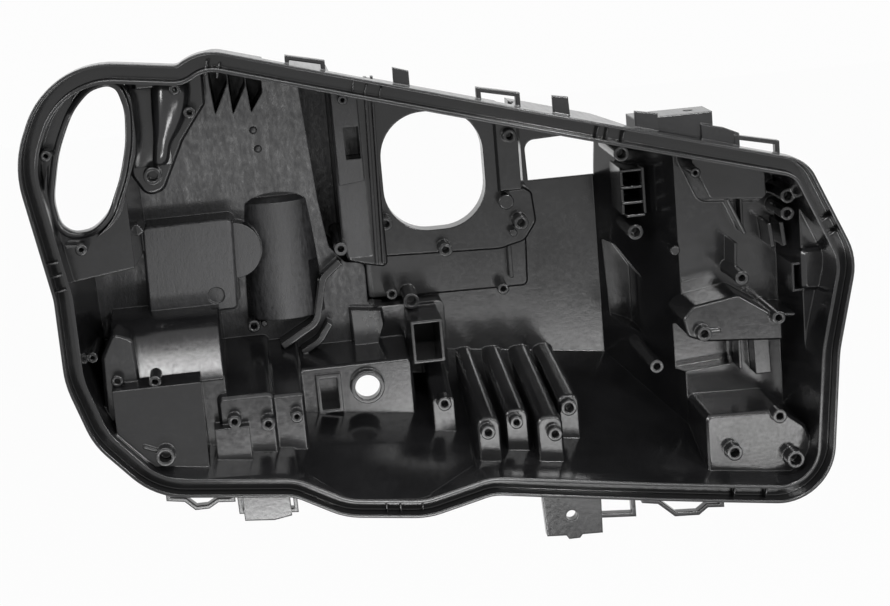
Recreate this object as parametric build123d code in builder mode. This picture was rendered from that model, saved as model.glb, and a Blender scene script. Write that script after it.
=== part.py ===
from build123d import *
from math import radians, sqrt, tan
import os

os.makedirs("parts", exist_ok=True)

# A bare headlamp body: one injection moulding, seen from its open lens side.
# Lens view: x to the right, z up, from the middle of the lens opening.
# Depth runs into the body, from the lens rim to the back.

# ---- driving sizes, in millimetres ----
wall = 2.5                 # general wall of the moulding
rim_sweep = 2400           # radius of the lens rim in plan
rim_crest_x = 70           # where the swept rim stands furthest forward
channel_width = 9          # glue channel between the two lips
channel_depth = 12         # from the lip edges to the channel floor
lip = 2.2                  # thickness of the outer lip
port_x = 13                # middle of the rear port
port_z = 70
port_width = 79            # clear opening of the rear port
port_height = 92
port_corner = 34
port_depth = 150           # inner face of the panel round the port
collar_depth = 14          # the rear cap's collar, behind that panel
shelf_depth = 50           # left shelf, round the side lamp opening
panel_depth = 142          # grained back panel, at the height of the view's middle
panel_lean = 0.15          # how much deeper the panel is per mm lower
deep_depth = 190           # back of the deepest bay
right_depth = 88           # right-hand shelf
corner_depth = 130         # lower left bay
floor_z = -143             # floor at the rim, at floor_x
floor_x = 23
floor_rise = 0.315         # the floor climbs towards the back
floor_fall = 0.125         # and falls towards the right
dip_rise = 0.46            # the floor's dip climbs more steeply
dip_depth = 70             # back of the dip
boss_wall = 2.6            # plastic round a screw's pilot hole
boss_hole_depth = 12

seat_depth = port_depth + wall + collar_depth
front = -60                # well ahead of the rim
behind = 260               # well behind the back
below = -230               # well under the floor
past = 20                  # how far a cut reaches past the wall that it opens


# ---- placing things in the lens view ----
def place(x, depth, z):
    """A point of the lens view, measured from the middle of the port's seat."""
    return Vector(x - port_x, depth - seat_depth, z - port_z)


def at_depth(depth):
    """A plane across the body at one depth; it faces the lens."""
    return Plane(origin=place(0, depth, 0), x_dir=(1, 0, 0), z_dir=(0, -1, 0))


def at_side(x):
    """A plane from front to back at one x; its own x runs into the body."""
    return Plane(origin=place(x, 0, 0), x_dir=(0, 1, 0), z_dir=(1, 0, 0))


def at_height(z):
    """A level plane; its own y runs into the body."""
    return Plane(origin=place(0, 0, z), x_dir=(1, 0, 0), z_dir=(0, 0, 1))


# ---- the general forms that the moulding is made of ----
def prism(outline, corner, near, far, growth=0.0, draft=0.0, edge=0.0):
    """A rounded outline, true at its near end, that runs from near to far."""
    spread = growth + tan(radians(draft)) * (far - near)
    with BuildPart() as form:
        with BuildSketch(at_depth(far)):
            with BuildLine():
                FilletPolyline(*outline, radius=corner, close=True)
            make_face()
            if spread:
                offset(amount=spread, kind=Kind.INTERSECTION)
        extrude(amount=far - near, taper=draft)
        if edge:
            chamfer(form.faces().sort_by(Axis.Y)[0].edges(), length=edge)
    return form.part


def ramp(x_range, top, near, far, climb, corner=3.0, growth=0.0, edge=0.0):
    """A block that runs back along the floor, with a rounded, climbing top."""
    low_x, high_x = x_range
    lead = 40
    start = place(0, near - lead, top - lead * climb)
    with BuildPart() as form:
        with BuildSketch(Plane(origin=start, x_dir=(1, 0, 0), z_dir=(0, -1, -climb))) as section:
            with Locations(((low_x + high_x) / 2, (growth + below) / 2)):
                Rectangle(high_x - low_x + 2 * growth, growth - below)
            if corner:
                fillet(section.vertices().group_by(Axis.Z)[-1], radius=corner + growth)
        extrude(amount=near - far - 2 * lead)
        split(bisect_by=at_depth(near), keep=Keep.BOTTOM)
        if edge:
            face = form.faces().sort_by(Axis.Y)[0]
            chamfer(face.edges().sort_by(Axis.Z)[1:], length=edge)
    return form.part


# ---- outline of the lens opening, at the inner lip ----
rim_corners = [
    (-149, 177), (256, 62), (286, -3), (271, -67), (262, -169), (23, -131),
    (-26, -143), (-80, -137), (-115, -118), (-211, -110), (-244, -74),
    (-257, -33), (-257, 27), (-272, 120), (-246, 177), (-163, 167),
]
rim_radii = [22, 15, 31, 105, 27, 42, 42, 42, 42, 42, 42, 56, 56, 60, 50, 22]


def rim_prism(growth, near, far):
    return prism(rim_corners, rim_radii, near, far, growth)


def sweep_disc(set_back):
    """All that lies behind the swept rim face, moved back by so much."""
    with BuildPart() as form:
        with BuildSketch(at_height(below)):
            with Locations((rim_crest_x, rim_sweep)):
                Circle(rim_sweep - set_back)
        extrude(amount=behind - below)
    return form.part


# ---- walls that bound the bays: each plane faces into its bay ----
def floor_plane():
    return Plane(origin=place(floor_x, 0, floor_z), z_dir=(floor_fall, -floor_rise, 1))


def back_plane(depth, lean=0.0):
    return Plane(origin=place(0, depth, 0), z_dir=(0, -1, -lean))


def side_plane(x, depth, draft, facing):
    """An upright wall through x at a depth; facing is 1 for right, -1 for left."""
    return Plane(origin=place(x, depth, 0), z_dir=(facing, -draft, 0))


bays = [
    # the shallow front of the whole body, back to the left shelf
    dict(walls=[floor_plane(), back_plane(shelf_depth)]),
    # dip in the floor, behind the lowest stretch of the rim
    dict(walls=[Plane(origin=place(-50, 0, floor_z), z_dir=(floor_fall, -dip_rise, 1)),
                back_plane(dip_depth)],
         outline=[(-115, -90), (15, -90), (15, -170), (-115, -170)]),
    # right-hand shelf
    dict(walls=[floor_plane(), back_plane(right_depth), side_plane(150, 0, 0, 1),
                side_plane(281, 0, 0.22, -1)]),
    # lower left bay
    dict(walls=[floor_plane(), back_plane(corner_depth, 0.1),
                side_plane(-258, 50, 0.10, 1)],
         outline=[(-275, 30), (-215, 38), (-160, 38), (-160, -140), (-290, -140)]),
    # the bay in front of the grained panel
    dict(walls=[floor_plane(), back_plane(panel_depth, panel_lean),
                side_plane(-214, 50, 0.06, 1), side_plane(24, 150, 0, -1)]),
    # the deepest bay: behind the bracket strip, the port and the right half
    dict(walls=[floor_plane(), back_plane(deep_depth),
                side_plane(143, deep_depth, 0.43, -1)],
         outline=[(-90, 230), (-78, 60), (-73, 22), (-62, 8), (-47, 6), (-47, -31),
                  (12, -31), (12, -190), (290, -190), (290, 230)]),
]


def bay(walls, growth, outline=None):
    """One bay of the cavity, or the same grown by the wall for the outside."""
    if outline is None:
        base = rim_prism(growth, front, behind)
    else:
        base = prism(outline, 6, front, behind, growth)
    with BuildPart() as form:
        add(base)
        for plane in walls:
            split(bisect_by=plane.offset(-growth), keep=Keep.TOP)
    return form.part


# ---- openings right through ----
oval_corners = [(-206, 170), (-233, 170), (-266, 103), (-261, 68), (-228, 68), (-206, 125)]
oval_radii = [14, 14, 40, 14, 28, 60]
oval_collar = 4.5          # width of the collar round the side lamp opening
oval_rise = 13             # how far it stands off the shelf
window_corners = [(90, 80), (91, 48), (144, 48), (146, 82)]
window_radii = [8, 0, 0, 0]
socket_corners = [(-91, -95), (-91, -71), (-78, -71), (-78, -95)]
socket_face = 100          # front of the block that carries the socket and the ring boss
ring_x, ring_z = -55.5, -80
ring_bore, ring_wall = 9.5, 3.2
ring_stand = 7             # how far the ring boss stands out in front of the block

# ---- raised forms, hollow from behind: outline at the face, then depths ----
raised = [
    # control unit box on the grained panel
    dict(outline=[(-210, 56), (-143, 56), (-146, -13), (-212, -13)], corner=4,
         near=110, far=172, draft=3, edge=1.5),
    # half plate beside it
    dict(outline=[(-150, 51), (-124, 51), (-124, 9), (-150, 9)], corner=[0, 20, 20, 0],
         near=118, far=165),
    # bracket strip
    dict(outline=[(-62, 200), (-63, 30), (-60, 12), (-48, 8), (-30, 4), (-30, 200)],
         corner=4, near=122, far=200, edge=1.5),
    # panel round the rear port
    dict(outline=[(-38, 220), (-44, 7), (60, 3), (80, 8), (90, 22), (88, 46), (80, 52),
                  (80, 220)], corner=[3, 5, 20, 9, 9, 5, 5, 3], near=port_depth,
         far=200, edge=1.5),
    # step below the port panel
    dict(outline=[(-46, 20), (-46, -30), (82, -32), (84, 20)], corner=5, near=168,
         far=200, edge=1.5),
    # half column between the port and the window
    dict(outline=[(63, 220), (63, 50), (79, 50), (79, 220)], corner=0, near=143, far=165,
         draft=12),
    # two faces of the bracket strip
    dict(outline=[(-61, 150), (-61, 71), (-42, 73), (-42, 150)], corner=0, near=117,
         far=140),
    # tapered pad on the grained panel, below the port
    dict(outline=[(-61, -30), (-38, -33), (-37, -44), (-46, -70), (-60, -68)], corner=0,
         near=139, far=165, draft=8),
    # arm and pad under the upper left rim
    dict(outline=[(-200, 205), (-204, 135), (-210, 104), (-200, 86), (-187, 90),
                  (-170, 124), (-152, 148), (-150, 205)],
         corner=[0, 0, 10, 9, 9, 0, 0, 0], near=58, far=150, edge=2),
    # raised back of the arm
    dict(outline=[(-199, 205), (-204, 110), (-185, 110), (-174, 205)], corner=0, near=48, far=90,
         edge=3),
    # rounded form in the lower left bay
    dict(outline=[(-246, -26), (-236, -8), (-222, -14), (-219, -75), (-248, -75)],
         corner=[5, 5, 5, 0, 0], near=52, far=140, edge=2),
    # wedge block on the right shelf
    dict(outline=[(178, -42), (187, -33), (221, -28), (253, -50), (253, -66), (193, -61),
                  (181, -56)], corner=[5, 5, 5, 4, 0, 0, 5], near=46,
         far=98, edge=1.5),
    # upper right plate
    dict(outline=[(194, 130), (196, 70), (208, 42), (250, 38), (247, 130)], corner=[0, 0, 4, 4, 0],
         near=64, far=98, draft=14),
    # corner box, lower right
    dict(outline=[(187, -112), (244, -114), (262, -128), (285, -200), (187, -200)],
         corner=[5, 5, 5, 0, 0], near=28, far=98, edge=2),
    # bulge in the right-hand wall
    dict(outline=[(268, 2), (320, 2), (320, -32), (268, -30)], corner=[5, 0, 0, 5], near=42,
         far=98, edge=3),
    # pillar under the wedge block
    dict(outline=[(236, -62), (248, -62), (249, -97), (237, -97)], corner=0, near=70,
         far=98),
]

# ---- blocks along the floor, hollow from below ----
floor_blocks = [
    # twin box, lower left
    dict(x_range=(-167, -126), top=-64, near=48, far=behind, climb=0.2, corner=5, edge=2),
    dict(x_range=(-129, -104), top=-68, near=54, far=behind, climb=0.2, corner=4, edge=2),
    # block that carries the socket and the ring boss
    dict(x_range=(-106, -20), top=-62, near=socket_face, far=behind, climb=0.1, corner=4, edge=2),
    # four ridges, with a foot at the front end of each
    dict(x_range=(19, 36), top=-98, near=38, far=behind, climb=0.105, corner=7, edge=1.5),
    dict(x_range=(41, 59), top=-98, near=52, far=behind, climb=0.105, corner=7, edge=1.5),
    dict(x_range=(63, 82), top=-102, near=38, far=behind, climb=0.11, corner=7, edge=1.5),
    dict(x_range=(84, 100), top=-96, near=68, far=behind, climb=0.08, corner=6, edge=1.5),
    # foot of the twin box
    dict(x_range=(-171, -146), top=-84, near=38, far=70, climb=0, corner=0),
    # pad under the screw boss beside the ridges
    dict(x_range=(-9, 7), top=-90, near=76, far=behind, climb=0.25, corner=3),
]

# ---- block and slope in the lower left corner: profiles from front to back ----
ledges = [
    ((-240, -177), [(30, -104), (36, -47), (66, -44), (66, below), (30, below)]),
    ((-240, -160), [(56, -50), (100, -8), (behind, -8), (behind, below), (56, below)]),
]


def ledge(x_range, profile, growth=0.0):
    low_x, high_x = x_range
    with BuildPart() as form:
        with BuildSketch(at_side(low_x - growth)):
            with BuildLine():
                Polyline(*profile, close=True)
            make_face()
            if growth:
                offset(amount=growth, kind=Kind.INTERSECTION)
        extrude(amount=high_x - low_x + 2 * growth)
    return form.part


# ---- bulge of the grained panel: an upright half cylinder ----
bulge_x, bulge_radius, bulge_depth = -110, 30, 152
bulge_top, bulge_bottom = 66, -28


def bulge(growth=0.0):
    with BuildPart() as form:
        with BuildSketch(at_height(bulge_bottom - growth)):
            with Locations((bulge_x, bulge_depth)):
                Circle(bulge_radius + growth)
        extrude(amount=bulge_top - bulge_bottom + 2 * growth)
        if not growth:
            chamfer(form.edges().group_by(Axis.Z)[-1], length=4)
    return form.part


# ---- sunk forms: pockets that go deeper than the bay they lie in ----
sunk = [
    # three sawtooth pockets at the top of the grained panel
    dict(outline=[(-149, 190), (-149, 157), (-147, 133), (-136, 155), (-136, 190)], corner=0,
         near=90, far=158),
    dict(outline=[(-135, 190), (-135, 154), (-134, 132), (-123, 152), (-123, 190)], corner=0,
         near=90, far=158),
    dict(outline=[(-122, 190), (-122, 151), (-120.5, 132), (-111, 146), (-111, 190)], corner=0,
         near=90, far=158),
    # recess of the right-hand shelf
    dict(outline=[(182, -58), (182, -94), (229, -91), (229, -58)], corner=0, near=60, far=104),
    # window frame in the slanted wall, closed behind
    dict(outline=[(146, -4), (153, -6), (167, -28), (167, -74), (148, -66)], corner=0,
         near=100, far=deep_depth - wall),
]

# ---- pockets in the raised forms: a slot of the bracket strip, a mark of the control box ----
pockets = [
    dict(outline=[(-54, 114), (-43, 114), (-43, 90), (-54, 90)], corner=0, near=112, far=140),
    dict(outline=[(-167, 5), (-155, 5), (-155, -7), (-167, -7)], corner=5.5, near=105, far=112),
]

# ---- screw bosses: x, z, tip depth, root depth, outer radius ----
screw_bosses = [
    # upper left, and the lower left corner
    (-219, 64, 80, 130, 6), (-194, 102, 50, 60, 6.3), (-253, -27, 62, 110, 4),
    (-207, -95, 20, 36, 6.8),
    # bracket strip, port panel and step
    (-65, 25, 106, 190, 5), (-28, 35, 136, 151, 5.2), (16, 10, 136, 151, 5.2),
    (72, 93, 134, 145, 5.2), (76, 25, 136, 151, 5.6), (-14, -27, 134, 169, 6.2),
    # feet of the twin box, the socket block and the ridges
    (-156, -80, 38, 50, 4.8), (-132, -84, 36, 50, 5), (-111, -83, 44, 56, 4.4),
    (-1, -92, 66, 80, 5.2), (26, -107, 30, 40, 5.2), (49, -106, 44, 54, 4.8),
    (75, -114, 30, 40, 5.2), (91, -104, 60, 70, 6),
    # slanted wall
    (161, -82, 68, 150, 5.2), (152, 75, 108, 170, 6), (159, 14, 108, 155, 6),
    # right-hand shelf and the corner box
    (261, 42, 45, right_depth, 5.6), (260, 29, 45, right_depth, 5.2),
    (223, -15, 42, right_depth, 5.1), (192, -53, 38, 48, 5.5), (248, -47, 38, right_depth, 5),
    (240, -116, 18, 30, 5.2), (205, -140, 18, 30, 5.9), (250, -150, 16, 30, 6.7),
]
# thin ribs: ends in the lens view, width, tip and root depth
ribs = [
    ((-259, 61), (-250, 60), 2.2, 34, shelf_depth), ((-38.5, 8), (-34.5, 150), 2.2, 116, 124),
    ((-33.5, 8), (-29.5, 150), 1.8, 118, 124), ((197, -53), (205, -53), 2.0, 42, 48),
    ((252, -46), (262, -47), 2.0, 44, right_depth), ((221, 42), (234, 12), 2.2, 70, right_depth),
    ((234, 12), (234, 42), 2.2, 78, right_depth), ((250, 20), (252, 2), 3.0, 60, right_depth),
    ((259, 20), (261, 2), 3.0, 60, right_depth), ((226, -64), (226, -92), 2.2, 72, right_depth),
    ((223, -10), (224, 8), 2.2, 60, right_depth), ((68, -22), (68, 6), 3.0, 158, 169),
    ((152, 60), (170, 60), 2.2, 118, 160), ((152, 47), (170, 47), 2.2, 118, 160),
    ((152, 35), (170, 35), 2.2, 118, 160), ((154, 26), (168, 26), 2.2, 112, 160),
    ((153, 62), (153, 26), 2.2, 120, 160), ((169, 62), (169, 26), 2.2, 116, 140),
    ((-206, -95), (-222, -88), 2.2, 28, 40), ((-213, 62), (-209, 56), 5, 84, 120),
]
# curved ribs on the grained panel
curved_ribs = [
    dict(path=[(-66, 11), (-80, 0), (-88, -34), (-116, -50)], radius=12, width=5, tip=127,
         root=149),
    dict(path=[(-78, -37), (-87, -50), (-101, -58)], radius=12, width=4.5, tip=132, root=151),
]
# square tubes: the big one beside the ring boss, the connector's, the one in the right-hand wall
frame_tubes = [
    dict(low=(-19, -67), high=(5, -34), near=96, far=151, thickness=2.4),
    dict(low=(-94, -98), high=(-75, -68), near=97, far=127, thickness=3),
    dict(low=(262, -31), high=(273, -9), near=48, far=89, thickness=2),
]


def rib(start, end, width, tip, root):
    with BuildPart() as form:
        with BuildSketch(at_depth(root + wall / 2)):
            with BuildLine():
                Line(start, end)
            trace(line_width=width)
        extrude(amount=root + wall / 2 - tip)
    return form.part


def curved_rib(path, radius, width, tip, root):
    with BuildPart() as form:
        with BuildSketch(at_depth(root)):
            with BuildLine():
                FilletPolyline(*path, radius=radius)
            trace(line_width=width)
        extrude(amount=root - tip)
    return form.part


def frame_tube(low, high, near, far, thickness):
    """A square tube that stands on a wall: outer corners in the lens view."""
    centre = ((low[0] + high[0]) / 2, (low[1] + high[1]) / 2)
    size = (high[0] - low[0], high[1] - low[1])
    with BuildPart() as form:
        with BuildSketch(at_depth(far)):
            with Locations(centre):
                Rectangle(*size)
                Rectangle(size[0] - 2 * thickness, size[1] - 2 * thickness, mode=Mode.SUBTRACT)
        extrude(amount=far - near)
    return form.part


# ---- clips and brackets on the outside, behind the glue channel ----
clip_bar = 3               # width of a clip's bar
clip_length = 7            # from front to back
clips = [
    # three square loops along the top
    [(-93, 160), (-92, 179), (-68, 173.5), (-68, 154)],
    [(37, 124), (37, 145), (64, 139), (64, 116)],
    [(217, 74), (218, 93), (247, 86.5), (247, 64)],
    # two bowed clips and two slotted clips along the bottom
    [(-209, -105), (-209, -129), (-197, -131), (-190, -138), (-181, -138), (-174, -134),
     (-163, -135), (-163, -105)],
    [(134, -140), (134, -167), (145, -169), (157, -180), (174, -181), (181, -176),
     (192, -177), (192, -145)],
    [(-159, -110), (-158, -143), (-118.5, -146.5), (-118.5, -110)],
    [(82, -140), (82, -172.5), (126, -176), (126, -145)],
]
# flat tabs: outline, distance behind the channel's floor, thickness
tabs = [
    ([(-21, 145), (-21, 166), (-10, 162.5), (-10, 140)], 0, 4),
    ([(88, 115), (88, 136), (99, 134), (100, 112)], 0, 4),
    ([(-157, -110), (-156, -150), (-135, -152), (-122, -150), (-122, -110)], 6, wall),
    ([(58, -130), (61, -185), (75, -186), (77, -189), (85, -189), (87, -186.5), (102, -187),
      (103, -135)], 6, wall),
    ([(145, 88), (146, 119), (162, 116), (162, 86)], 2, 4),
    ([(193, 76), (193, 105), (209, 101), (220, 96), (220, 72)], 2, 4),
]
lower_hole_x, lower_hole_z, lower_hole_radius = 80, -171, 4

# upper bracket: a level plate on three webs, with two upright bolt holes
bracket_x, bracket_width = 174, 56
bracket_near, bracket_far = 20, 50
bracket_top, bracket_plate = 113, 3
bracket_foot = 72
bolt_spacing, bolt_radius = 28, 3.5


def rim_depth(x):
    """Depth of the swept rim at x."""
    return rim_sweep - sqrt(rim_sweep ** 2 - (x - rim_crest_x) ** 2)


def clip(path):
    near = rim_depth(path[0][0]) + channel_depth
    with BuildPart() as form:
        with BuildSketch(at_depth(near + clip_length)):
            with BuildLine():
                Polyline(*path)
            trace(line_width=clip_bar)
        extrude(amount=clip_length)
    return form.part


def tab(outline, behind_floor, thickness):
    near = rim_depth(outline[0][0]) + channel_depth
    with BuildPart() as form:
        with BuildSketch(at_depth(near + behind_floor + thickness)):
            with BuildLine():
                Polyline(*outline, close=True)
            make_face()
        extrude(amount=behind_floor + thickness if behind_floor > wall else thickness)
    return form.part


def upper_bracket():
    web_height = bracket_top - bracket_foot
    depth_middle = (bracket_near + bracket_far) / 2
    with BuildPart() as form:
        with BuildSketch(Plane(place(bracket_x, depth_middle, bracket_top))):
            Rectangle(bracket_width, bracket_far - bracket_near)
        extrude(amount=-web_height)
        with BuildSketch(Plane(place(bracket_x, depth_middle + wall, bracket_foot))):
            bay_width = (bracket_width - 3 * wall) / 2
            with GridLocations(bay_width + wall, 0, 2, 1):
                Rectangle(bay_width, bracket_far - bracket_near)
        extrude(amount=web_height - bracket_plate, mode=Mode.SUBTRACT)
    return form.part


def round_bar(x, z, radius, near, far):
    with BuildPart() as form:
        with BuildSketch(at_depth(far)):
            with Locations((x, z)):
                Circle(radius)
        extrude(amount=far - near)
    return form.part


def cavity_form():
    with BuildPart() as form:
        for one in bays:
            add(bay(growth=0, **one))
        for one in sunk:
            add(prism(**one))
        add(rim_prism(0, front, behind), mode=Mode.INTERSECT)
        for one in raised:
            add(prism(**one), mode=Mode.SUBTRACT)
        for one in floor_blocks:
            add(ramp(**one), mode=Mode.SUBTRACT)
        for x_range, profile in ledges:
            add(ledge(x_range, profile), mode=Mode.SUBTRACT)
        add(bulge(), mode=Mode.SUBTRACT)
        for one in pockets:
            add(prism(**one))
    return form.part


def hollow(form):
    """The same raised form as seen from behind: one wall smaller, small corners sharp."""
    smaller = dict(form)
    if isinstance(form["corner"], list):
        smaller["corner"] = [radius if radius > 2 * wall else 0 for radius in form["corner"]]
    elif form["corner"] <= 2 * wall:
        smaller["corner"] = 0
    smaller["near"] = form["near"] + wall
    smaller["far"] = form["far"] + 3 * wall
    smaller["edge"] = 0
    return smaller


def deeper(form):
    """The outside of a sunk form: one wall further back."""
    larger = dict(form)
    larger["far"] = form["far"] + wall
    return larger


def outer_form():
    with BuildPart() as form:
        for one in bays:
            add(bay(growth=wall, **one))
        for one in sunk:
            add(prism(growth=wall, **deeper(one)))
        add(rim_prism(wall, front, behind + past), mode=Mode.INTERSECT)
        for one in raised:
            add(prism(growth=-wall, **hollow(one)), mode=Mode.SUBTRACT)
        for one in floor_blocks:
            add(ramp(growth=-wall, **hollow(one)), mode=Mode.SUBTRACT)
        for x_range, profile in ledges:
            add(ledge(x_range, profile, -wall), mode=Mode.SUBTRACT)
        add(bulge(-wall), mode=Mode.SUBTRACT)
        for one in pockets:
            add(prism(growth=wall, **deeper(one)))
    return form.part


outer = outer_form()
cavity = cavity_form()
with BuildPart() as channel:
    add(rim_prism(wall + channel_width, front, shelf_depth))
    add(rim_prism(wall, front, shelf_depth), mode=Mode.SUBTRACT)
    add(sweep_disc(channel_depth), mode=Mode.SUBTRACT)

with BuildPart() as housing:
    # glue channel round the lens opening, with what is moulded to its back
    add(rim_prism(wall + channel_width + lip, front, shelf_depth - wall))
    add(sweep_disc(channel_depth + wall), mode=Mode.SUBTRACT)
    add(outer)
    add([clip(path) for path in clips])
    add([tab(*one) for one in tabs])
    add(upper_bracket())
    add(channel.part, mode=Mode.SUBTRACT)
    add(sweep_disc(0), mode=Mode.INTERSECT)
    add(cavity, mode=Mode.SUBTRACT)

    # what stands on the walls inside
    add([round_bar(x, z, radius, tip, root + wall / 2)
         for x, z, tip, root, radius in screw_bosses])
    add([rib(*one) for one in ribs])
    add([curved_rib(**one) for one in curved_ribs])
    add([frame_tube(**one) for one in frame_tubes])
    add(round_bar(ring_x, ring_z, ring_bore + ring_wall, socket_face - ring_stand,
                  socket_face + wall))
    add(prism(oval_corners, oval_radii, shelf_depth - oval_rise, shelf_depth + wall, oval_collar))

    # collar of the rear port, for its cap
    with BuildSketch(at_depth(seat_depth)):
        with Locations((port_x, port_z)):
            RectangleRounded(port_width + 4 * wall, port_height + 4 * wall, port_corner + 2 * wall)
    extrude(amount=collar_depth)

    # openings right through, and the pilot holes
    with BuildSketch(at_depth(seat_depth)):
        with Locations((port_x, port_z)):
            RectangleRounded(port_width, port_height, port_corner)
    extrude(amount=seat_depth - port_depth + past, mode=Mode.SUBTRACT)
    cuts = [
        prism(oval_corners, oval_radii, front, shelf_depth + past),
        prism(window_corners, window_radii, deep_depth - past, deep_depth + past),
        prism(socket_corners, 0, socket_face - past, socket_face + past),
        round_bar(ring_x, ring_z, ring_bore, socket_face - past, socket_face + past),
        round_bar(lower_hole_x, lower_hole_z, lower_hole_radius, 0, 60),
    ]
    cuts += [round_bar(x, z, radius - boss_wall, tip - 1, min(tip + boss_hole_depth, root))
             for x, z, tip, root, radius in screw_bosses]
    add(cuts, mode=Mode.SUBTRACT)
    with BuildSketch(Plane(place(bracket_x, (bracket_near + bracket_far) / 2, bracket_top))):
        with GridLocations(bolt_spacing, 0, 2, 1):
            Circle(bolt_radius)
    extrude(amount=-bracket_plate - 1, mode=Mode.SUBTRACT)

housing.part.label = "housing"
export_step(housing.part, "parts/housing.step")
print("volume", housing.part.volume, "solids", len(housing.part.solids()))
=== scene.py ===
# %% [markdown]
# # Headlamp housing: looks
#
# The housing of a car's headlamp is one black injection moulding, open at the front, where a clear
# lens is glued into a channel. Its shape comes from the CAD model, so this script adds the camera,
# the light, the plastic's finish and the small moulded details.
#
# ## Loading the CAD model
# The CAD nodes could be imported and placed by hand. The CAD model's box is read at once, because
# every new piece has to stay inside it.

# %% Load the frame
import bmesh
import bpy
import math
from mathutils import Matrix, Vector


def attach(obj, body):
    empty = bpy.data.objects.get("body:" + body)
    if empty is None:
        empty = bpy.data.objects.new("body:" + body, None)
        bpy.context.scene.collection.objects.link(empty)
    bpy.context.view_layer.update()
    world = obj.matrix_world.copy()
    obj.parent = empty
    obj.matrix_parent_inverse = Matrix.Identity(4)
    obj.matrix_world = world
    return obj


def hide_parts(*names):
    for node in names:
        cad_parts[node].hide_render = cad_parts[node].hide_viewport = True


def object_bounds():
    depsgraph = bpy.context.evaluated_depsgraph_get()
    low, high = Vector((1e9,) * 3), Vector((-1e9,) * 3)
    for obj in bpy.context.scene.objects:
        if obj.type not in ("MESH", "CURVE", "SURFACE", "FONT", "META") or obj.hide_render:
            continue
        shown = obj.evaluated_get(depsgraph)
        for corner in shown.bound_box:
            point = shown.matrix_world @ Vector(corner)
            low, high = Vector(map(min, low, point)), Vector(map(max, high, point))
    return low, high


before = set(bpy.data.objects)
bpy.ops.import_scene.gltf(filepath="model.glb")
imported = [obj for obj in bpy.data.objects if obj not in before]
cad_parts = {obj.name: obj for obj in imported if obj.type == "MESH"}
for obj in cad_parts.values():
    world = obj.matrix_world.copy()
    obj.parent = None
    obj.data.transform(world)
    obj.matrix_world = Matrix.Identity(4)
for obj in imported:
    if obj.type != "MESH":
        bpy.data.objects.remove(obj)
cad_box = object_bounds()
bpy.context.scene.view_settings.view_transform = "Standard"
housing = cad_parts["housing"]
print("CAD box", cad_box)

# %% [markdown]
# ## Places in the lens view
# Someone who mends a headlamp sees the housing from its open front. So all places are given in the
# lens view, in millimetres: x to the right, depth into the body, z up, all from the middle of the
# lens opening. They could also be typed in metres from the frame's origin, which is the rear port,
# but then each would need the same subtraction by hand. One function does it for all.

# %% Lens view
MM = 0.001
PORT = Vector((13.0, 166.5, 70.0))        # the frame's origin, in the lens view


def lens(x, depth, z):
    """A point of the lens view as a point of the frame, in metres."""
    return (Vector((x, depth, z)) - PORT) * MM


print("the lens opening's middle is at", tuple(lens(0, 0, 0)), "in the frame")

# %% [markdown]
# ## Camera
# The view is nearly straight into the housing, a little from the left and from above, and slightly
# rolled. A Track To constraint could aim the camera, but it always keeps the horizon level. So the
# camera's three axes are worked out from two angles and turned by the roll.

# %% Camera
PICTURE_WIDTH = 890                       # pixels
VIEW_AZIMUTH = math.radians(-5.0)         # the camera stands a little left of straight ahead
VIEW_HEIGHT = math.radians(13.0)          # and looks down by this much
VIEW_ROLL = math.radians(5.0)
VIEW_DISTANCE = 1350.0
VIEW_SCALE = 0.70                         # millimetres for each pixel at the lens opening
SENSOR = 36.0
NEAREST_SEEN = 0.01


def make_camera():
    back = Vector((math.sin(VIEW_AZIMUTH) * math.cos(VIEW_HEIGHT),
                   -math.cos(VIEW_AZIMUTH) * math.cos(VIEW_HEIGHT), math.sin(VIEW_HEIGHT)))
    right = Vector((0, 0, 1)).cross(back).normalized()
    up = back.cross(right)
    rolled_right = right * math.cos(VIEW_ROLL) - up * math.sin(VIEW_ROLL)
    rolled_up = right * math.sin(VIEW_ROLL) + up * math.cos(VIEW_ROLL)
    turn = Matrix((rolled_right, rolled_up, back)).transposed().to_4x4()
    camera = bpy.data.objects.new("camera", bpy.data.cameras.new("camera"))
    camera.matrix_world = Matrix.Translation(lens(0, 0, 0) + back * VIEW_DISTANCE * MM) @ turn
    camera.data.sensor_width = SENSOR
    camera.data.lens = SENSOR * VIEW_DISTANCE / VIEW_SCALE / PICTURE_WIDTH
    camera.data.clip_start = NEAREST_SEEN
    bpy.context.scene.collection.objects.link(camera)
    bpy.context.scene.camera = camera
    return camera


camera = make_camera()
print("camera at", tuple(camera.location), "lens", round(camera.data.lens, 1), "mm")

# %% [markdown]
# ## Shader maths
# A finish is a few patterns, added, multiplied and blended. Its nodes could be wired one at a time,
# which hides the sum they stand for. This class wraps one output of a node, so that a finish reads
# as Python. The reflected operators, such as __rsub__, are for a number that comes first, as in
# 1 - mask. Every node is made by one function, which sets the node's own settings before its
# sockets, since they can change which sockets there are.

# %% Shader helper
def add_node(tree, kind, inputs=None, **settings):
    """Makes a node with these settings, and with numbers or Values on its inputs."""
    node = tree.nodes.new(kind)
    for name, setting in settings.items():
        setattr(node, name, setting)
    for name, item in (inputs or {}).items():
        if isinstance(item, Value):
            tree.links.new(item.socket, node.inputs[name])
        else:
            node.inputs[name].default_value = item
    return node


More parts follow.
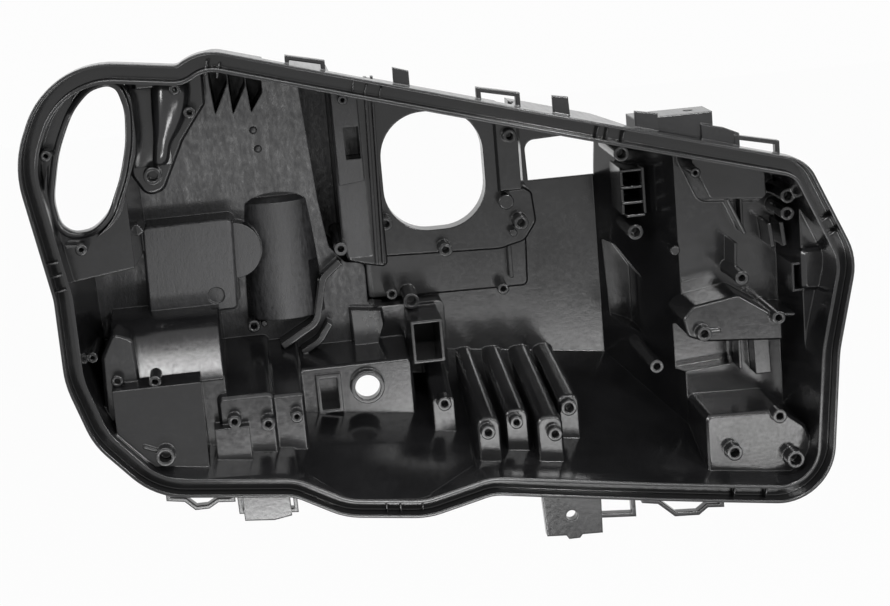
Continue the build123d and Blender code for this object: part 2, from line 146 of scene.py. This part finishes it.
class Value:
    """One output of a node tree that can be added, multiplied and so on."""

    def __init__(self, tree, socket):
        self.tree = tree
        self.socket = socket

    def math(self, operation, first, second):
        node = add_node(self.tree, "ShaderNodeMath", {0: first, 1: second}, operation=operation)
        return Value(self.tree, node.outputs[0])

    def __add__(self, other):
        return self.math("ADD", self, other)

    def __radd__(self, other):
        return self.math("ADD", other, self)

    def __sub__(self, other):
        return self.math("SUBTRACT", self, other)

    def __rsub__(self, other):
        return self.math("SUBTRACT", other, self)

    def __mul__(self, other):
        return self.math("MULTIPLY", self, other)

    def __rmul__(self, other):
        return self.math("MULTIPLY", other, self)

    def at_least(self, other):
        return self.math("MAXIMUM", self, other)

    def ramp(self, low, high, to_low=0.0, to_high=1.0):
        """A straight ramp, held at both ends."""
        node = add_node(self.tree, "ShaderNodeMapRange",
                        {"Value": self, "From Min": low, "From Max": high, "To Min": to_low,
                         "To Max": to_high})
        return Value(self.tree, node.outputs["Result"])

    def above(self, edge, width):
        """1 past the edge and 0 before it, with a soft step of this width."""
        return self.ramp(edge, edge + width)

    def below(self, edge, width):
        """1 before the edge and 0 past it, with a soft step of this width."""
        return self.ramp(edge, edge + width, 1, 0)


# %% [markdown]
# ## Where the plastic is grained
# The back walls of the left bay were spark eroded in the tool, so they carry a fine grain that
# scatters light into a soft grey. All the rest was polished and drawn, and is near black. Two
# materials on two groups of faces could show that, but the part is one moulding and the grain
# stops inside a face. So one mask, made from the place and the direction of the surface, is 1 where
# the plastic is grained. The curved ribs and the blocks under them are polished again.

# %% Grained mask
GRAINED_RIGHT = lens(-44, 0, 0).x         # the grained walls lie left of this
GRAINED_FRONT = lens(0, 100, 0).y         # and behind this
TURNED_AWAY, FACING_LENS = 0.35, 0.75     # how much of the normal points to the lens
RIBS_LEFT = lens(-90, 0, 0).x             # the curved ribs stand right of this
RIBS_TOP = lens(0, 0, 14).z               # and below this
BLOCKS_TOP = lens(0, 0, -30).z            # all is polished below this
POLISHED_BACK = lens(0, 138, 0).y         # the ribs and blocks end at this depth


def grained_mask(tree, place):
    where = add_node(tree, "ShaderNodeSeparateXYZ", {"Vector": place})
    x, y, z = (Value(tree, where.outputs[axis]) for axis in "XYZ")
    normal = Value(tree, add_node(tree, "ShaderNodeNewGeometry").outputs["Normal"])
    direction = add_node(tree, "ShaderNodeSeparateXYZ", {"Vector": normal})
    to_lens = -1.0 * Value(tree, direction.outputs["Y"])
    left_bay = x.below(GRAINED_RIGHT, 4 * MM) * y.above(GRAINED_FRONT, 3 * MM)
    ribs = x.above(RIBS_LEFT, 1 * MM) * z.below(RIBS_TOP, 1 * MM)
    blocks = z.below(BLOCKS_TOP, 1 * MM)
    polished = ribs.at_least(blocks) * y.below(POLISHED_BACK, 2 * MM)
    return left_bay * to_lens.ramp(TURNED_AWAY, FACING_LENS) * (1 - polished)


# %% [markdown]
# ## The plastic
# Black polypropylene, straight from the mould. A picture of plastic wrapped round the part could
# give its finish, but it would stretch on the deep walls. Noise that reads the place on the object
# fits every wall. Each pattern is one Noise Texture, stretched by a Mapping node: marks of the draw
# run along y, streaks on the grained walls run along z. They change the roughness most, the tone a
# little, and the relief by a fraction of a millimetre. A Bevel node rounds the look of edges that
# the mould leaves nearly sharp.

# %% Plastic material
# cells per metre, detail, and stretch along x, y and z
PATTERNS = {
    "fine": (1300, 3, (1, 1, 0.6)),        # the eroded grain
    "speckle": (420, 4, (1, 1, 0.45)),     # coarser spots in it
    "cloudy": (22, 4, (1, 1, 1)),          # slow changes of tone
    "drag": (70, 4, (5, 0.3, 5)),          # wide marks along the draw
    "scuffs": (260, 3, (1, 0.10, 1)),      # fine scratches along the draw
    "streaks": (160, 3, (1, 1, 0.14)),     # upright streaks on the grained walls
}
NOISE_LOW, NOISE_HIGH = 0.30, 0.70         # nearly all of a noise lies between these
GLOSS = dict(darkest=0.13, dullest=0.20)   # roughness of the polished walls
MATT = dict(darkest=0.36, dullest=0.56)    # roughness of the grained walls
BLACK = (0.0068, 0.0068, 0.0072)
PLASTIC_IOR = 1.50
SOFT_EDGE = 1.5 * MM
RELIEF_HEIGHT = 0.3 * MM
RELIEF_STRENGTH = 0.6
RELIEF = dict(speckle=1.1, fine=0.7, streaks=0.5, drag=0.20, scuffs=0.10)    # share of each pattern


def pattern(tree, place, scale, detail, stretch):
    stretched = add_node(tree, "ShaderNodeMapping", {"Vector": place, "Scale": stretch})
    noise = add_node(tree, "ShaderNodeTexNoise",
                     {"Vector": Value(tree, stretched.outputs[0]), "Scale": scale,
                      "Detail": detail})
    return Value(tree, noise.outputs["Fac"])


def make_plastic():
    material = bpy.data.materials.new("black_polypropylene")
    material.use_nodes = True
    tree = material.node_tree
    shader = tree.nodes["Principled BSDF"]
    shader.inputs["IOR"].default_value = PLASTIC_IOR
    place = Value(tree, add_node(tree, "ShaderNodeTexCoord").outputs["Object"])
    grained = grained_mask(tree, place)
    fine, speckle, cloudy, drag, scuffs, streaks = (
        pattern(tree, place, *settings) for settings in PATTERNS.values())

    gloss_rough = (drag.ramp(0.30, 0.75, GLOSS["darkest"], GLOSS["dullest"])
                   + scuffs.ramp(0.60, 0.80, 0.0, 0.07) + cloudy.ramp(0.35, 0.70, -0.01, 0.03))
    matt_rough = (speckle.ramp(NOISE_LOW, NOISE_HIGH, MATT["darkest"], MATT["dullest"])
                  + streaks.ramp(NOISE_LOW, NOISE_HIGH, -0.05, 0.06))
    factor, first, second = 0, 2, 3        # a Mix node's sockets for numbers
    blend = add_node(tree, "ShaderNodeMix",
                     {factor: grained, first: gloss_rough, second: matt_rough})
    tree.links.new(blend.outputs[0], shader.inputs["Roughness"])

    tone = (cloudy.ramp(0.25, 0.75, 0.7, 1.4) * fine.ramp(NOISE_LOW, NOISE_HIGH, 0.75, 1.3)
            * (1.0 + grained * speckle.ramp(NOISE_LOW, NOISE_HIGH, 0.0, 1.6)))
    colour = add_node(tree, "ShaderNodeCombineColor",
                      {"Red": tone * BLACK[0], "Green": tone * BLACK[1], "Blue": tone * BLACK[2]})
    tree.links.new(colour.outputs[0], shader.inputs["Base Color"])

    soft_edges = add_node(tree, "ShaderNodeBevel", {"Radius": SOFT_EDGE}, samples=8)
    grain = speckle * RELIEF["speckle"] + fine * RELIEF["fine"] + streaks * RELIEF["streaks"]
    relief = grain * grained + drag * RELIEF["drag"] + scuffs * RELIEF["scuffs"]
    bump = add_node(tree, "ShaderNodeBump",
                    {"Height": relief, "Distance": RELIEF_HEIGHT, "Strength": RELIEF_STRENGTH,
                     "Normal": Value(tree, soft_edges.outputs[0])})
    tree.links.new(bump.outputs[0], shader.inputs["Normal"])
    return material


plastic = make_plastic()
for slot in housing.material_slots:
    slot.material = plastic
print("plastic has", len(plastic.node_tree.nodes), "nodes")

# %% [markdown]
# ## Making a piece
# Each small detail is part of the same moulding, so it gets the same plastic and rides on the same
# body. Details could be drawn as lists of vertices and faces. Here they start from a cube, a circle
# or a curve and are shaped by bmesh operators, which keeps them closed. A piece's object stays at
# the origin, with its place in its mesh, so that the plastic's patterns run on from the shell.

# %% Finish a piece
MERGE_DISTANCE = 1e-6                      # metres
PIECE_SHARP = math.radians(32)             # steeper edges of a small piece stay sharp


def finish_piece(name, shape):
    """Turns a bmesh into a piece of black plastic that rides on the housing."""
    bmesh.ops.remove_doubles(shape, verts=shape.verts, dist=MERGE_DISTANCE)
    bmesh.ops.recalc_face_normals(shape, faces=shape.faces)
    mesh = bpy.data.meshes.new(name)
    shape.to_mesh(mesh)
    shape.free()
    for face in mesh.polygons:
        face.use_smooth = True
    mesh.set_sharp_from_angle(angle=PIECE_SHARP)
    mesh.materials.append(plastic)
    piece = bpy.data.objects.new(name, mesh)
    bpy.context.scene.collection.objects.link(piece)
    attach(piece, "root")
    return piece


# %% Bars and extrusions
def bar(shape, centre, length, width, near, far, angle=0.0):
    """A bar in the lens view: its length runs at this angle, its depth from near to far."""
    box = bmesh.ops.create_cube(shape, size=1.0)["verts"]
    bmesh.ops.scale(shape, verts=box, vec=(length * MM, (far - near) * MM, width * MM))
    bmesh.ops.rotate(shape, verts=box, cent=(0, 0, 0), matrix=Matrix.Rotation(-angle, 3, "Y"))
    bmesh.ops.translate(shape, verts=box, vec=lens(centre[0], (near + far) / 2, centre[1]))


def round_edges(shape, edges, offset, segments=2):
    bmesh.ops.bevel(shape, geom=edges, offset=offset * MM, offset_type="OFFSET", affect="EDGES",
                    segments=segments, profile=0.5, material=-1)


def extrude(shape, faces, move):
    """Extrudes faces by a move in millimetres and keeps them, so that the shape is closed."""
    grown = bmesh.ops.extrude_face_region(shape, geom=faces, use_keep_orig=True)
    moved = [item for item in grown["geom"] if isinstance(item, bmesh.types.BMVert)]
    bmesh.ops.translate(shape, verts=moved, vec=[length * MM for length in move])
    bmesh.ops.recalc_face_normals(shape, faces=shape.faces)


# %% [markdown]
# ## Side lamp opening
# The opening in the left shelf is a smooth, tilted oval that one sees straight through. An ellipse
# would be too regular for it, so a closed Bezier curve with automatic handles runs through a few
# points. The same curve makes the cutter for the opening and, set further out, the cutter for the
# shelf round it and the collar.

# %% Oval outline
OVAL = [(-214, 167), (-208.5, 156), (-208, 136), (-212, 115), (-219, 95), (-230, 75.5),
        (-245, 67.5), (-258, 71.5), (-263.5, 86), (-261, 110), (-252.5, 137), (-240, 158),
        (-226, 168)]
OVAL_CENTRE = (-235.0, 117.5)
OVAL_HALF_WIDTH, OVAL_HALF_HEIGHT = 28, 50
CURVE_STEPS = 6                            # straight pieces between two points of the curve


def outset(points, width):
    """The points moved out from the oval's centre, by its width at the ends of both axes."""
    cx, cz = OVAL_CENTRE
    return [(cx + (x - cx) * (1 + width / OVAL_HALF_WIDTH),
             cz + (z - cz) * (1 + width / OVAL_HALF_HEIGHT)) for x, z in points]


def smooth_loop(points, depth):
    """A closed smooth curve through points of the lens view, as a face in a new bmesh."""
    curve = bpy.data.curves.new("loop", "CURVE")
    curve.dimensions = "3D"
    curve.resolution_u = CURVE_STEPS
    line = curve.splines.new("BEZIER")
    line.bezier_points.add(len(points) - 1)
    for knot, (x, z) in zip(line.bezier_points, points):
        knot.co = lens(x, depth, z)
        knot.handle_left_type = "AUTO"
        knot.handle_right_type = "AUTO"
    line.use_cyclic_u = True
    holder = bpy.data.objects.new("loop", curve)
    bpy.context.scene.collection.objects.link(holder)
    graph = bpy.context.evaluated_depsgraph_get()
    mesh = bpy.data.meshes.new_from_object(holder.evaluated_get(graph))
    shape = bmesh.new()
    shape.from_mesh(mesh)
    bmesh.ops.contextual_create(shape, geom=shape.edges[:])
    bpy.data.objects.remove(holder)
    bpy.data.meshes.remove(mesh)
    return shape


print("the oval has", len(OVAL), "points")

# %% [markdown]
# ## Cutting the shell
# Three places of the moulding are cut. The oval goes right through, because in the CAD model a
# bay's side wall stands in its way. The shelf round it is cleared for a collar, and the flat back
# of the arm for a round tube. The CAD node's own mesh is loose triangles and stays as it is. So a
# copy is merged and cut with Boolean modifiers, set to EXACT because the walls are thin, and the
# copy then stands for the node.

# %% Cutters
MERGE_SHELL = 2e-6                         # metres
CUT_FRONT = 30                             # depth at which the oval cutters start
CUT_LENGTH = 185
SHELF_DEPTH = 50.0
OLD_COLLAR_WIDTH = 5.2
RIM_WALL_X = -266.2                        # the wall of the rim starts left of this
ARM_BACK = dict(centre=(-189, 137), length=32, width=55, near=44, far=58)


def opening_cutter():
    shape = smooth_loop(OVAL, CUT_FRONT)
    extrude(shape, shape.faces[:], (0, CUT_LENGTH, 0))
    return shape


def old_collar_cutter():
    """Clears the shelf round the opening, down to its face, but not the rim's wall."""
    band = [(max(x, RIM_WALL_X), z) for x, z in outset(OVAL, OLD_COLLAR_WIDTH)]
    shape = smooth_loop(band, CUT_FRONT)
    extrude(shape, shape.faces[:], (0, SHELF_DEPTH - CUT_FRONT, 0))
    return shape


def arm_back_cutter():
    shape = bmesh.new()
    bar(shape, **ARM_BACK)
    return shape


# %% Cut copy
def add_object(name, shape):
    """An object in the scene with the mesh of a bmesh, which is freed."""
    mesh = bpy.data.meshes.new(name)
    shape.to_mesh(mesh)
    shape.free()
    item = bpy.data.objects.new(name, mesh)
    bpy.context.scene.collection.objects.link(item)
    return item


def cut_copy(name, source, cutters):
    """A merged copy of a CAD node with the cutters taken away."""
    shape = bmesh.new()
    shape.from_mesh(source.data)
    bmesh.ops.remove_doubles(shape, verts=shape.verts, dist=MERGE_SHELL)
    copy = add_object(name, shape)
    tools = [add_object("cutter", cutter) for cutter in cutters]
    for tool in tools:
        modifier = copy.modifiers.new("cut", "BOOLEAN")
        modifier.object = tool
        modifier.operation = "DIFFERENCE"
        modifier.solver = "EXACT"
    graph = bpy.context.evaluated_depsgraph_get()
    cut = bpy.data.meshes.new_from_object(copy.evaluated_get(graph))
    copy.modifiers.clear()
    copy.data = cut
    for tool in tools:
        bpy.data.objects.remove(tool)
    return copy


shell = cut_copy("housing_shell", housing,
                 [opening_cutter(), old_collar_cutter(), arm_back_cutter()])
print("shell", len(shell.data.polygons), "faces")

# %% [markdown]
# ## Shading of the shell
# Polished plastic shows every fault of its shading. A flat wall of the moulding is many long
# triangles, so plain smooth shading draws smudges on it. A Weighted Normal modifier weighs single
# triangles, and a Limited Dissolve can tear thin faces. So each corner's normal is worked out from
# whole flat regions here: the larger a region, the more it leads. Walls stay flat, and the narrow
# faces of a fillet blend from one wall to the next.

# %% Corner normals
SAME_PLANE = math.cos(math.radians(0.4))   # neighbours this close in angle are one flat region
SAME_BLEND = math.cos(math.radians(30))    # steeper edges stay sharp


def flat_regions(shape):
    """The total area of the flat region that each face belongs to."""
    region = {}
    areas = []
    for start in shape.faces:
        if start in region:
            continue
        region[start] = len(areas)
        areas.append(0.0)
        pending = [start]
        while pending:
            face = pending.pop()
            areas[-1] += face.calc_area()
            for other in {near for edge in face.edges for near in edge.link_faces}:
                if other not in region and other.normal.dot(start.normal) > SAME_PLANE:
                    region[other] = region[start]
                    pending.append(other)
    return {face: areas[number] for face, number in region.items()}


def corner_normals(mesh):
    """Corner normals led by the largest flat region, so flats stay flat and fillets blend."""
    shape = bmesh.new()
    shape.from_mesh(mesh)
    areas = flat_regions(shape)
    normals = []
    for face in shape.faces:
        for corner in face.loops:
            total = Vector()
            for near in corner.vert.link_loops:
                if near.face.normal.dot(face.normal) > SAME_BLEND:
                    total += near.face.normal * areas[near.face] * near.calc_angle()
            normals.append(total.normalized() if total.length > 0 else face.normal.copy())
    shape.free()
    return normals


# %% Shell in place of the CAD node
shell.data.materials.clear()
shell.data.materials.append(plastic)
for face in shell.data.polygons:
    face.use_smooth = True
    face.material_index = 0
normals = corner_normals(shell.data)
shell.data.normals_split_custom_set(normals)
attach(shell, "root")
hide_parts("housing")
print(len(normals), "corner normals")

# %% [markdown]
# ## Collar of the opening
# A raised collar stiffens the opening and stands highest at its right. A bevelled curve could draw
# it, but its ends and its height would be hard to steer. So the oval is made a face, inset by the
# collar's width, and extruded. Its front edges are bevelled, and then the front is tipped by moving
# each vertex in the depth by its place between left and right.

# %% Collar
COLLAR_WIDTH = 4.4
COLLAR_LOW, COLLAR_HIGH = 49.0, 37.0       # depth of its face at the left and at the right
COLLAR_BACK = 60
COLLAR_EDGE = 1.1
TIP_LEFT, TIP_RIGHT = -247, -221           # the face tips between these
TIPPED_DEPTH = 5                           # only the front of the collar moves
SIDE_FACE = 0.5                            # a face whose normal has less y than this is a side


def make_collar():
    shape = smooth_loop(outset(OVAL, COLLAR_WIDTH), COLLAR_HIGH)
    inner = bmesh.ops.inset_individual(shape, faces=shape.faces[:], thickness=COLLAR_WIDTH * MM,
                                       use_even_offset=True)
    core = [face for face in shape.faces if face not in inner["faces"]]
    bmesh.ops.delete(shape, geom=core, context="FACES")
    extrude(shape, shape.faces[:], (0, COLLAR_BACK - COLLAR_HIGH, 0))
    front_y = lens(0, COLLAR_HIGH, 0).y
    rims = [edge for edge in shape.edges
            if all(abs(vert.co.y - front_y) < MERGE_DISTANCE for vert in edge.verts)
            and any(abs(face.normal.y) < SIDE_FACE for face in edge.link_faces)]
    round_edges(shape, rims, COLLAR_EDGE, segments=3)
    left, right = lens(TIP_LEFT, 0, 0).x, lens(TIP_RIGHT, 0, 0).x
    for vert in shape.verts:
        share = min(max((right - vert.co.x) / (right - left), 0), 1)
        if vert.co.y < front_y + TIPPED_DEPTH * MM:
            vert.co.y += share * (COLLAR_LOW - COLLAR_HIGH) * MM
    return finish_piece("side_lamp_collar", shape)


collar = make_collar()
print("collar", len(collar.data.polygons), "faces")

# %% [markdown]
# ## Arm under the upper left rim
# The arm is a hollow, tapering form that comes down from the rim and ends in a screw boss. A curve
# with a round bevel could make it, but its thickness changes unevenly. So circles of different
# sizes are set along it and joined with bridge_loops, and a Subdivision Surface softens the tube.
# A flat plate closes the recess behind it.

# %% Arm
RING_STEPS = 20
# x, depth, z, radius and lean from upright, in radians
ARM_RINGS = [
    (-174.0, 54, 171, 14.0, 0.05), (-174.5, 54, 160, 14.5, 0.05), (-176.5, 54, 147, 13.5, 0.15),
    (-180.5, 54, 134, 10.0, 0.25), (-184.0, 53, 126, 6.8, 0.2), (-185.5, 53, 121, 6.2, 0.1),
    (-186.5, 54, 114, 6.2, 0.1), (-188.5, 56, 108, 5.6, 0.1),
]
ARM_PLATE = dict(centre=(-192.5, 139), length=27, width=62, near=57.0, far=60.0)
ARM_PLATE_EDGE = 0.6


def ring(shape, x, depth, z, radius, lean):
    """A ring of the tube, square to an axis that leans this far from upright."""
    verts = bmesh.ops.create_circle(shape, segments=RING_STEPS, radius=radius * MM)["verts"]
    bmesh.ops.rotate(shape, verts=verts, cent=(0, 0, 0), matrix=Matrix.Rotation(lean, 3, "Y"))
    bmesh.ops.translate(shape, verts=verts, vec=lens(x, depth, z))
    return [edge for edge in shape.edges if edge.verts[0] in verts and edge.verts[1] in verts]


def tube_along(name, rings):
    """A closed soft tube through rings."""
    shape = bmesh.new()
    loops = [ring(shape, *one) for one in rings]
    for first, second in zip(loops, loops[1:]):
        bmesh.ops.bridge_loops(shape, edges=first + second)
    for end in (loops[0], loops[-1]):
        bmesh.ops.contextual_create(shape, geom=end)
    piece = finish_piece(name, shape)
    soft = piece.modifiers.new("soft", "SUBSURF")
    soft.levels = 1
    soft.render_levels = 1
    return piece


def make_arm_plate():
    shape = bmesh.new()
    bar(shape, **ARM_PLATE)
    round_edges(shape, shape.edges, ARM_PLATE_EDGE)
    return finish_piece("arm_plate", shape)


arm_tube = tube_along("arm_tube", ARM_RINGS)
arm_plate = make_arm_plate()
print(arm_tube.name, "from", len(ARM_RINGS), "rings, and", arm_plate.name)

# %% [markdown]
# ## Slope in the lower left bay
# Behind the block in the lower left corner the wall sweeps up in a smooth hollow slope that catches
# the light. It could be a sculpted grid, but it has the same side view all the way across. So that
# side view is drawn once, as a closed outline, and extruded over the width of the bay.

# %% Slope
# depth and z: up the hollow slope, and back along its underside
SLOPE = [(55.0, -52), (58, -46), (62, -39.5), (66.5, -32.5), (71, -25.5), (76, -18.5),
         (81.5, -12.5), (88, -8.5), (96, -6.8), (104, -6.5), (104, -9.5), (80, -26)]
SLOPE_LEFT, SLOPE_RIGHT = -239, -161


def make_slope():
    shape = bmesh.new()
    points = [shape.verts.new(lens(SLOPE_LEFT, depth, z)) for depth, z in SLOPE]
    side = shape.faces.new(points)
    extrude(shape, [side], (SLOPE_RIGHT - SLOPE_LEFT, 0, 0))
    return finish_piece("bay_slope", shape)


slope = make_slope()
print(slope.name, len(slope.data.polygons), "faces")

# %% [markdown]
# ## Back of the connector socket
# The socket beside the ring boss holds a plug and is closed at its far end. The shell is open there
# in the CAD model. Filling the hole in the shell's mesh would mean picking its edges one by one, so
# a plain plate stands behind it.

# %% Socket
SOCKET_BACK = dict(centre=(-84.5, -83), length=22, width=34, near=124, far=127)


def make_socket_back():
    shape = bmesh.new()
    bar(shape, **SOCKET_BACK)
    return finish_piece("socket_back", shape)


print(make_socket_back().name)

# %% [markdown]
# ## Small screw bosses and pins
# The housing has more screw bosses than the solid model carries. Each is a round tube with a blind
# pilot hole, and a pin is the same without the hole. A cylinder cut by another would do, but its
# rim would need a bevel as well. Both are turned shapes, so half a section with its rounded rim is
# drawn as a few vertices and spun once round the direction of draw.

# %% Turned pieces
HOLE_WALL = 2.6                            # plastic round a pilot hole
SMALLEST_HOLE = 1.3
HOLE_DEPTH = 12
HOLE_FLOOR = 1                             # least plastic left under a hole
EDGE = 0.5                                 # rounding of a boss's rim
SPIN_STEPS = 32


def spin_section(name, x, z, section):
    """A piece from a section of (radius, depth), spun round the line of draw through x, z."""
    shape = bmesh.new()
    points = [shape.verts.new(lens(x + radius, depth, z)) for radius, depth in section]
    edges = [shape.edges.new(pair) for pair in zip(points, points[1:])]
    bmesh.ops.spin(shape, geom=points + edges, cent=lens(x, 0, z), axis=(0, 1, 0),
                   angle=math.tau, steps=SPIN_STEPS, use_merge=True)
    return finish_piece(name, shape)


def outer_section(tip, root, radius):
    return [(0, root), (radius, root), (radius, tip + EDGE), (radius - EDGE, tip)]


def boss_section(tip, root, radius):
    hole = max(radius - HOLE_WALL, SMALLEST_HOLE)
    bottom = min(tip + HOLE_DEPTH, root - HOLE_FLOOR)
    return outer_section(tip, root, radius) + [(hole + EDGE, tip), (hole, tip + EDGE),
                                               (hole, bottom), (0, bottom)]


def pin_section(tip, root, radius):
    return outer_section(tip, root, radius) + [(0, tip)]


# %% Bosses and pins
# x, z, tip depth, root depth, radius
SMALL_BOSSES = [
    (-264, 126, 32, 50, 4.0), (-248, 58, 32, 50, 4.2), (-163, 145, 44, 60, 4.4),
    (-171, 163, 36, 60, 4.0), (-236, -42, 44, 54, 4.4), (-209, -44, 38, 70, 4.6),
    (-136, -32, 128, 148, 4.8), (-53, 136, 106, 119, 3.8), (-28, -21, 140, 169, 4.6),
    (60, -29, 152, 169, 4.6), (196, 64, 56, 90, 3.8),
]
PINS = [(66, 42, 138, 151, 6.0), (-128, -32, 134, 148, 2.4), (183, 2, 82, 88, 3.7),
        (70, 17, 140, 151, 3.0)]

for number, (x, z, tip, root, radius) in enumerate(SMALL_BOSSES, 1):
    spin_section(f"screw_boss_{number:02d}", x, z, boss_section(tip, root, radius))
for number, (x, z, tip, root, radius) in enumerate(PINS, 1):
    spin_section(f"pin_{number:02d}", x, z, pin_section(tip, root, radius))
print(len(SMALL_BOSSES), "small bosses and", len(PINS), "pins")

# %% [markdown]
# ## Bumps on the grained panel
# Two low domes stand on the panel. They could be bumps in the material, but then they would have no
# outline of their own. So each is a sphere, flattened along the draw and sunk in the panel by half.

# %% Domes
PANEL_DEPTH, PANEL_LEAN = 142, 0.15        # the grained panel is deeper lower down
DOME_RADIUS, DOME_RISE = 3.0, 1.6


def dome(name, x, z):
    shape = bmesh.new()
    bmesh.ops.create_uvsphere(shape, u_segments=24, v_segments=12, radius=DOME_RADIUS * MM)
    bmesh.ops.scale(shape, verts=shape.verts, vec=(1, DOME_RISE / DOME_RADIUS, 1))
    bmesh.ops.translate(shape, verts=shape.verts,
                        vec=lens(x, PANEL_DEPTH - PANEL_LEAN * z, z))
    return finish_piece(name, shape)


domes = [dome("panel_dome_upper", -120.5, 118), dome("panel_dome_lower", -118.5, 103.5)]
print([piece.name for piece in domes])

# %% [markdown]
# ## Marks in the glue channel
# The tool leaves small cross ribs in the channel, which keep its two walls apart. They could be cut
# from one long comb, but the channel turns and its floor sweeps back towards both ends. So each is
# a short bar of its own, turned square to the channel and set on the floor at its own depth, with
# its edges bevelled.

# %% Cross ribs
CHANNEL_WIDTH, CHANNEL_DEPTH = 9.0, 12.0
RIM_SWEEP, RIM_CREST_X = 2400.0, 70.0      # the rim bends back in an arc, foremost at this x
RIB_THICKNESS = 1.4
RIB_OVERLAP = 1.5                          # added length that runs into the channel's walls
RIB_ROOT = 1                               # how far a rib runs into the channel's floor
RIB_EDGE = 0.3
# x and z of the rib's middle, degrees of the direction across the channel, how high it stands
CROSS_RIBS = [
    (-147.4, 177.5, 78, 9), (-139.5, 174.8, 75, 6), (-48.7, 157.0, 74, 6), (-40.9, 152.5, 74, 7),
    (-31.1, 149.0, 74, 5), (117.4, 108.6, 74, 6), (124.2, 106.8, 74, 5), (135.2, 102.6, 74, 6),
    (-53.9, -147.5, 94, 6), (-43.9, -148.5, 92, 6), (-28.0, -151.0, 88, 5),
    (201.4, -166.4, 81, 6), (225.4, -170.2, 81, 6),
    (-267.8, 50.9, 9, 6), (-266.6, 41.6, 9, 6), (-264.8, 30.9, 9, 6),
    (283.4, 16.4, 25, 6), (278.6, 27.4, 25, 6),
]


def rim_depth(x):
    return RIM_SWEEP - math.sqrt(RIM_SWEEP ** 2 - (x - RIM_CREST_X) ** 2)


def cross_rib(name, x, z, angle, rise):
    floor_depth = rim_depth(x) + CHANNEL_DEPTH
    shape = bmesh.new()
    bar(shape, (x, z), CHANNEL_WIDTH + RIB_OVERLAP, RIB_THICKNESS, floor_depth - rise,
        floor_depth + RIB_ROOT, math.radians(angle))
    round_edges(shape, shape.edges, RIB_EDGE)
    return finish_piece(name, shape)


for number, (x, z, angle, rise) in enumerate(CROSS_RIBS, 1):
    cross_rib(f"channel_rib_{number:02d}", x, z, angle, rise)
print(len(CROSS_RIBS), "cross ribs")

# %% [markdown]
# ## Floor and surround
# A black, glossy shell shows the studio more than itself. A bright world would light the walls to a
# flat grey, and a dark one would leave nothing to reflect. So the surround is white for the camera
# and for reflections, and dim for the light that falls on the part. Light Path tells the rays
# apart. The pale floor does the same, and lies well below the part.

# %% Rays that see the surround
def sees_background(tree):
    """1 for rays from the camera, a mirror or glass, 0 for all others."""
    rays = add_node(tree, "ShaderNodeLightPath")
    return (Value(tree, rays.outputs["Is Camera Ray"])
            .at_least(Value(tree, rays.outputs["Is Glossy Ray"]))
            .at_least(Value(tree, rays.outputs["Is Transmission Ray"])))


# %% Floor
FLOOR_DROP = 0.45                          # metres below the part
FLOOR_SIZE = 6.0
FLOOR_GREY = (0.62, 0.62, 0.62, 1)
FLOOR_ROUGHNESS = 0.9
FLOOR_GLOW = 0.97                          # share of plain white that the camera sees
WHITE = (1, 1, 1, 1)


def floor_material():
    material = bpy.data.materials.new("floor_white")
    material.use_nodes = True
    tree = material.node_tree
    shader = tree.nodes["Principled BSDF"]
    shader.inputs["Base Color"].default_value = FLOOR_GREY
    shader.inputs["Roughness"].default_value = FLOOR_ROUGHNESS
    glow = add_node(tree, "ShaderNodeEmission", {"Color": WHITE, "Strength": 1.0})
    mix = add_node(tree, "ShaderNodeMixShader",
                   {0: sees_background(tree) * FLOOR_GLOW, 1: Value(tree, shader.outputs[0]),
                    2: Value(tree, glow.outputs[0])})
    tree.links.new(mix.outputs[0], tree.nodes["Material Output"].inputs["Surface"])
    return material


def make_floor():
    shape = bmesh.new()
    bmesh.ops.create_grid(shape, x_segments=1, y_segments=1, size=FLOOR_SIZE)
    floor = add_object("floor", shape)
    floor.location.z = cad_box[0][2] - FLOOR_DROP
    floor.data.materials.append(floor_material())
    return floor


floor = make_floor()
print("floor at", round(floor.location.z, 4))

# %% World
DIM, BRIGHT = 0.08, 0.98                   # what lights the part, and what is seen


def make_world():
    world = bpy.data.worlds.new("studio")
    bpy.context.scene.world = world
    world.use_nodes = True
    tree = world.node_tree
    backdrop = tree.nodes["Background"]
    backdrop.inputs["Color"].default_value = WHITE
    strength = sees_background(tree).ramp(0, 1, DIM, BRIGHT)
    tree.links.new(strength.socket, backdrop.inputs["Strength"])
    return world


print("world", make_world().name)

# %% [markdown]
# ## Soft boxes
# The bright lines along edges, slopes and the glue channel are the reflections of long lamps. One
# large lamp would fill whole walls with grey. So each soft box is a narrow rectangle with a high
# radiance, placed where one group of walls mirrors it to the camera. Its power is worked out from
# its radiance and area, so a box can change its size and stay as bright.

# %% Lights
AIM = (0, 80, 0)                           # the middle of the body


def softbox(name, place, width, height, radiance, aim=AIM):
    """A soft box at a place of the lens view, turned to the point it aims at."""
    light = bpy.data.lights.new(name, "AREA")
    light.shape = "RECTANGLE"
    light.size = width * MM
    light.size_y = height * MM
    light.energy = radiance * math.pi * light.size * light.size_y
    lamp = bpy.data.objects.new(name, light)
    lamp.location = lens(*place)
    lamp.rotation_euler = (lens(*aim) - lamp.location).to_track_quat("-Z", "Y").to_euler()
    bpy.context.scene.collection.objects.link(lamp)


softbox("overhead", (0, -60, 900), 950, 130, 16)
softbox("front_top", (-60, -560, 640), 1000, 110, 18)
softbox("front_key", (430, -1150, 450), 170, 170, 60)
softbox("channel_strip", (430, -1160, -490), 850, 100, 9, aim=(120, 0, -120))
softbox("panel_strip", (-140, -980, -540), 520, 130, 19, aim=(-120, 150, 50))
softbox("left_side", (-850, -420, 340), 90, 600, 24)
softbox("right_side", (870, -640, 450), 110, 600, 30)
print("lights", [light.name for light in bpy.data.lights])
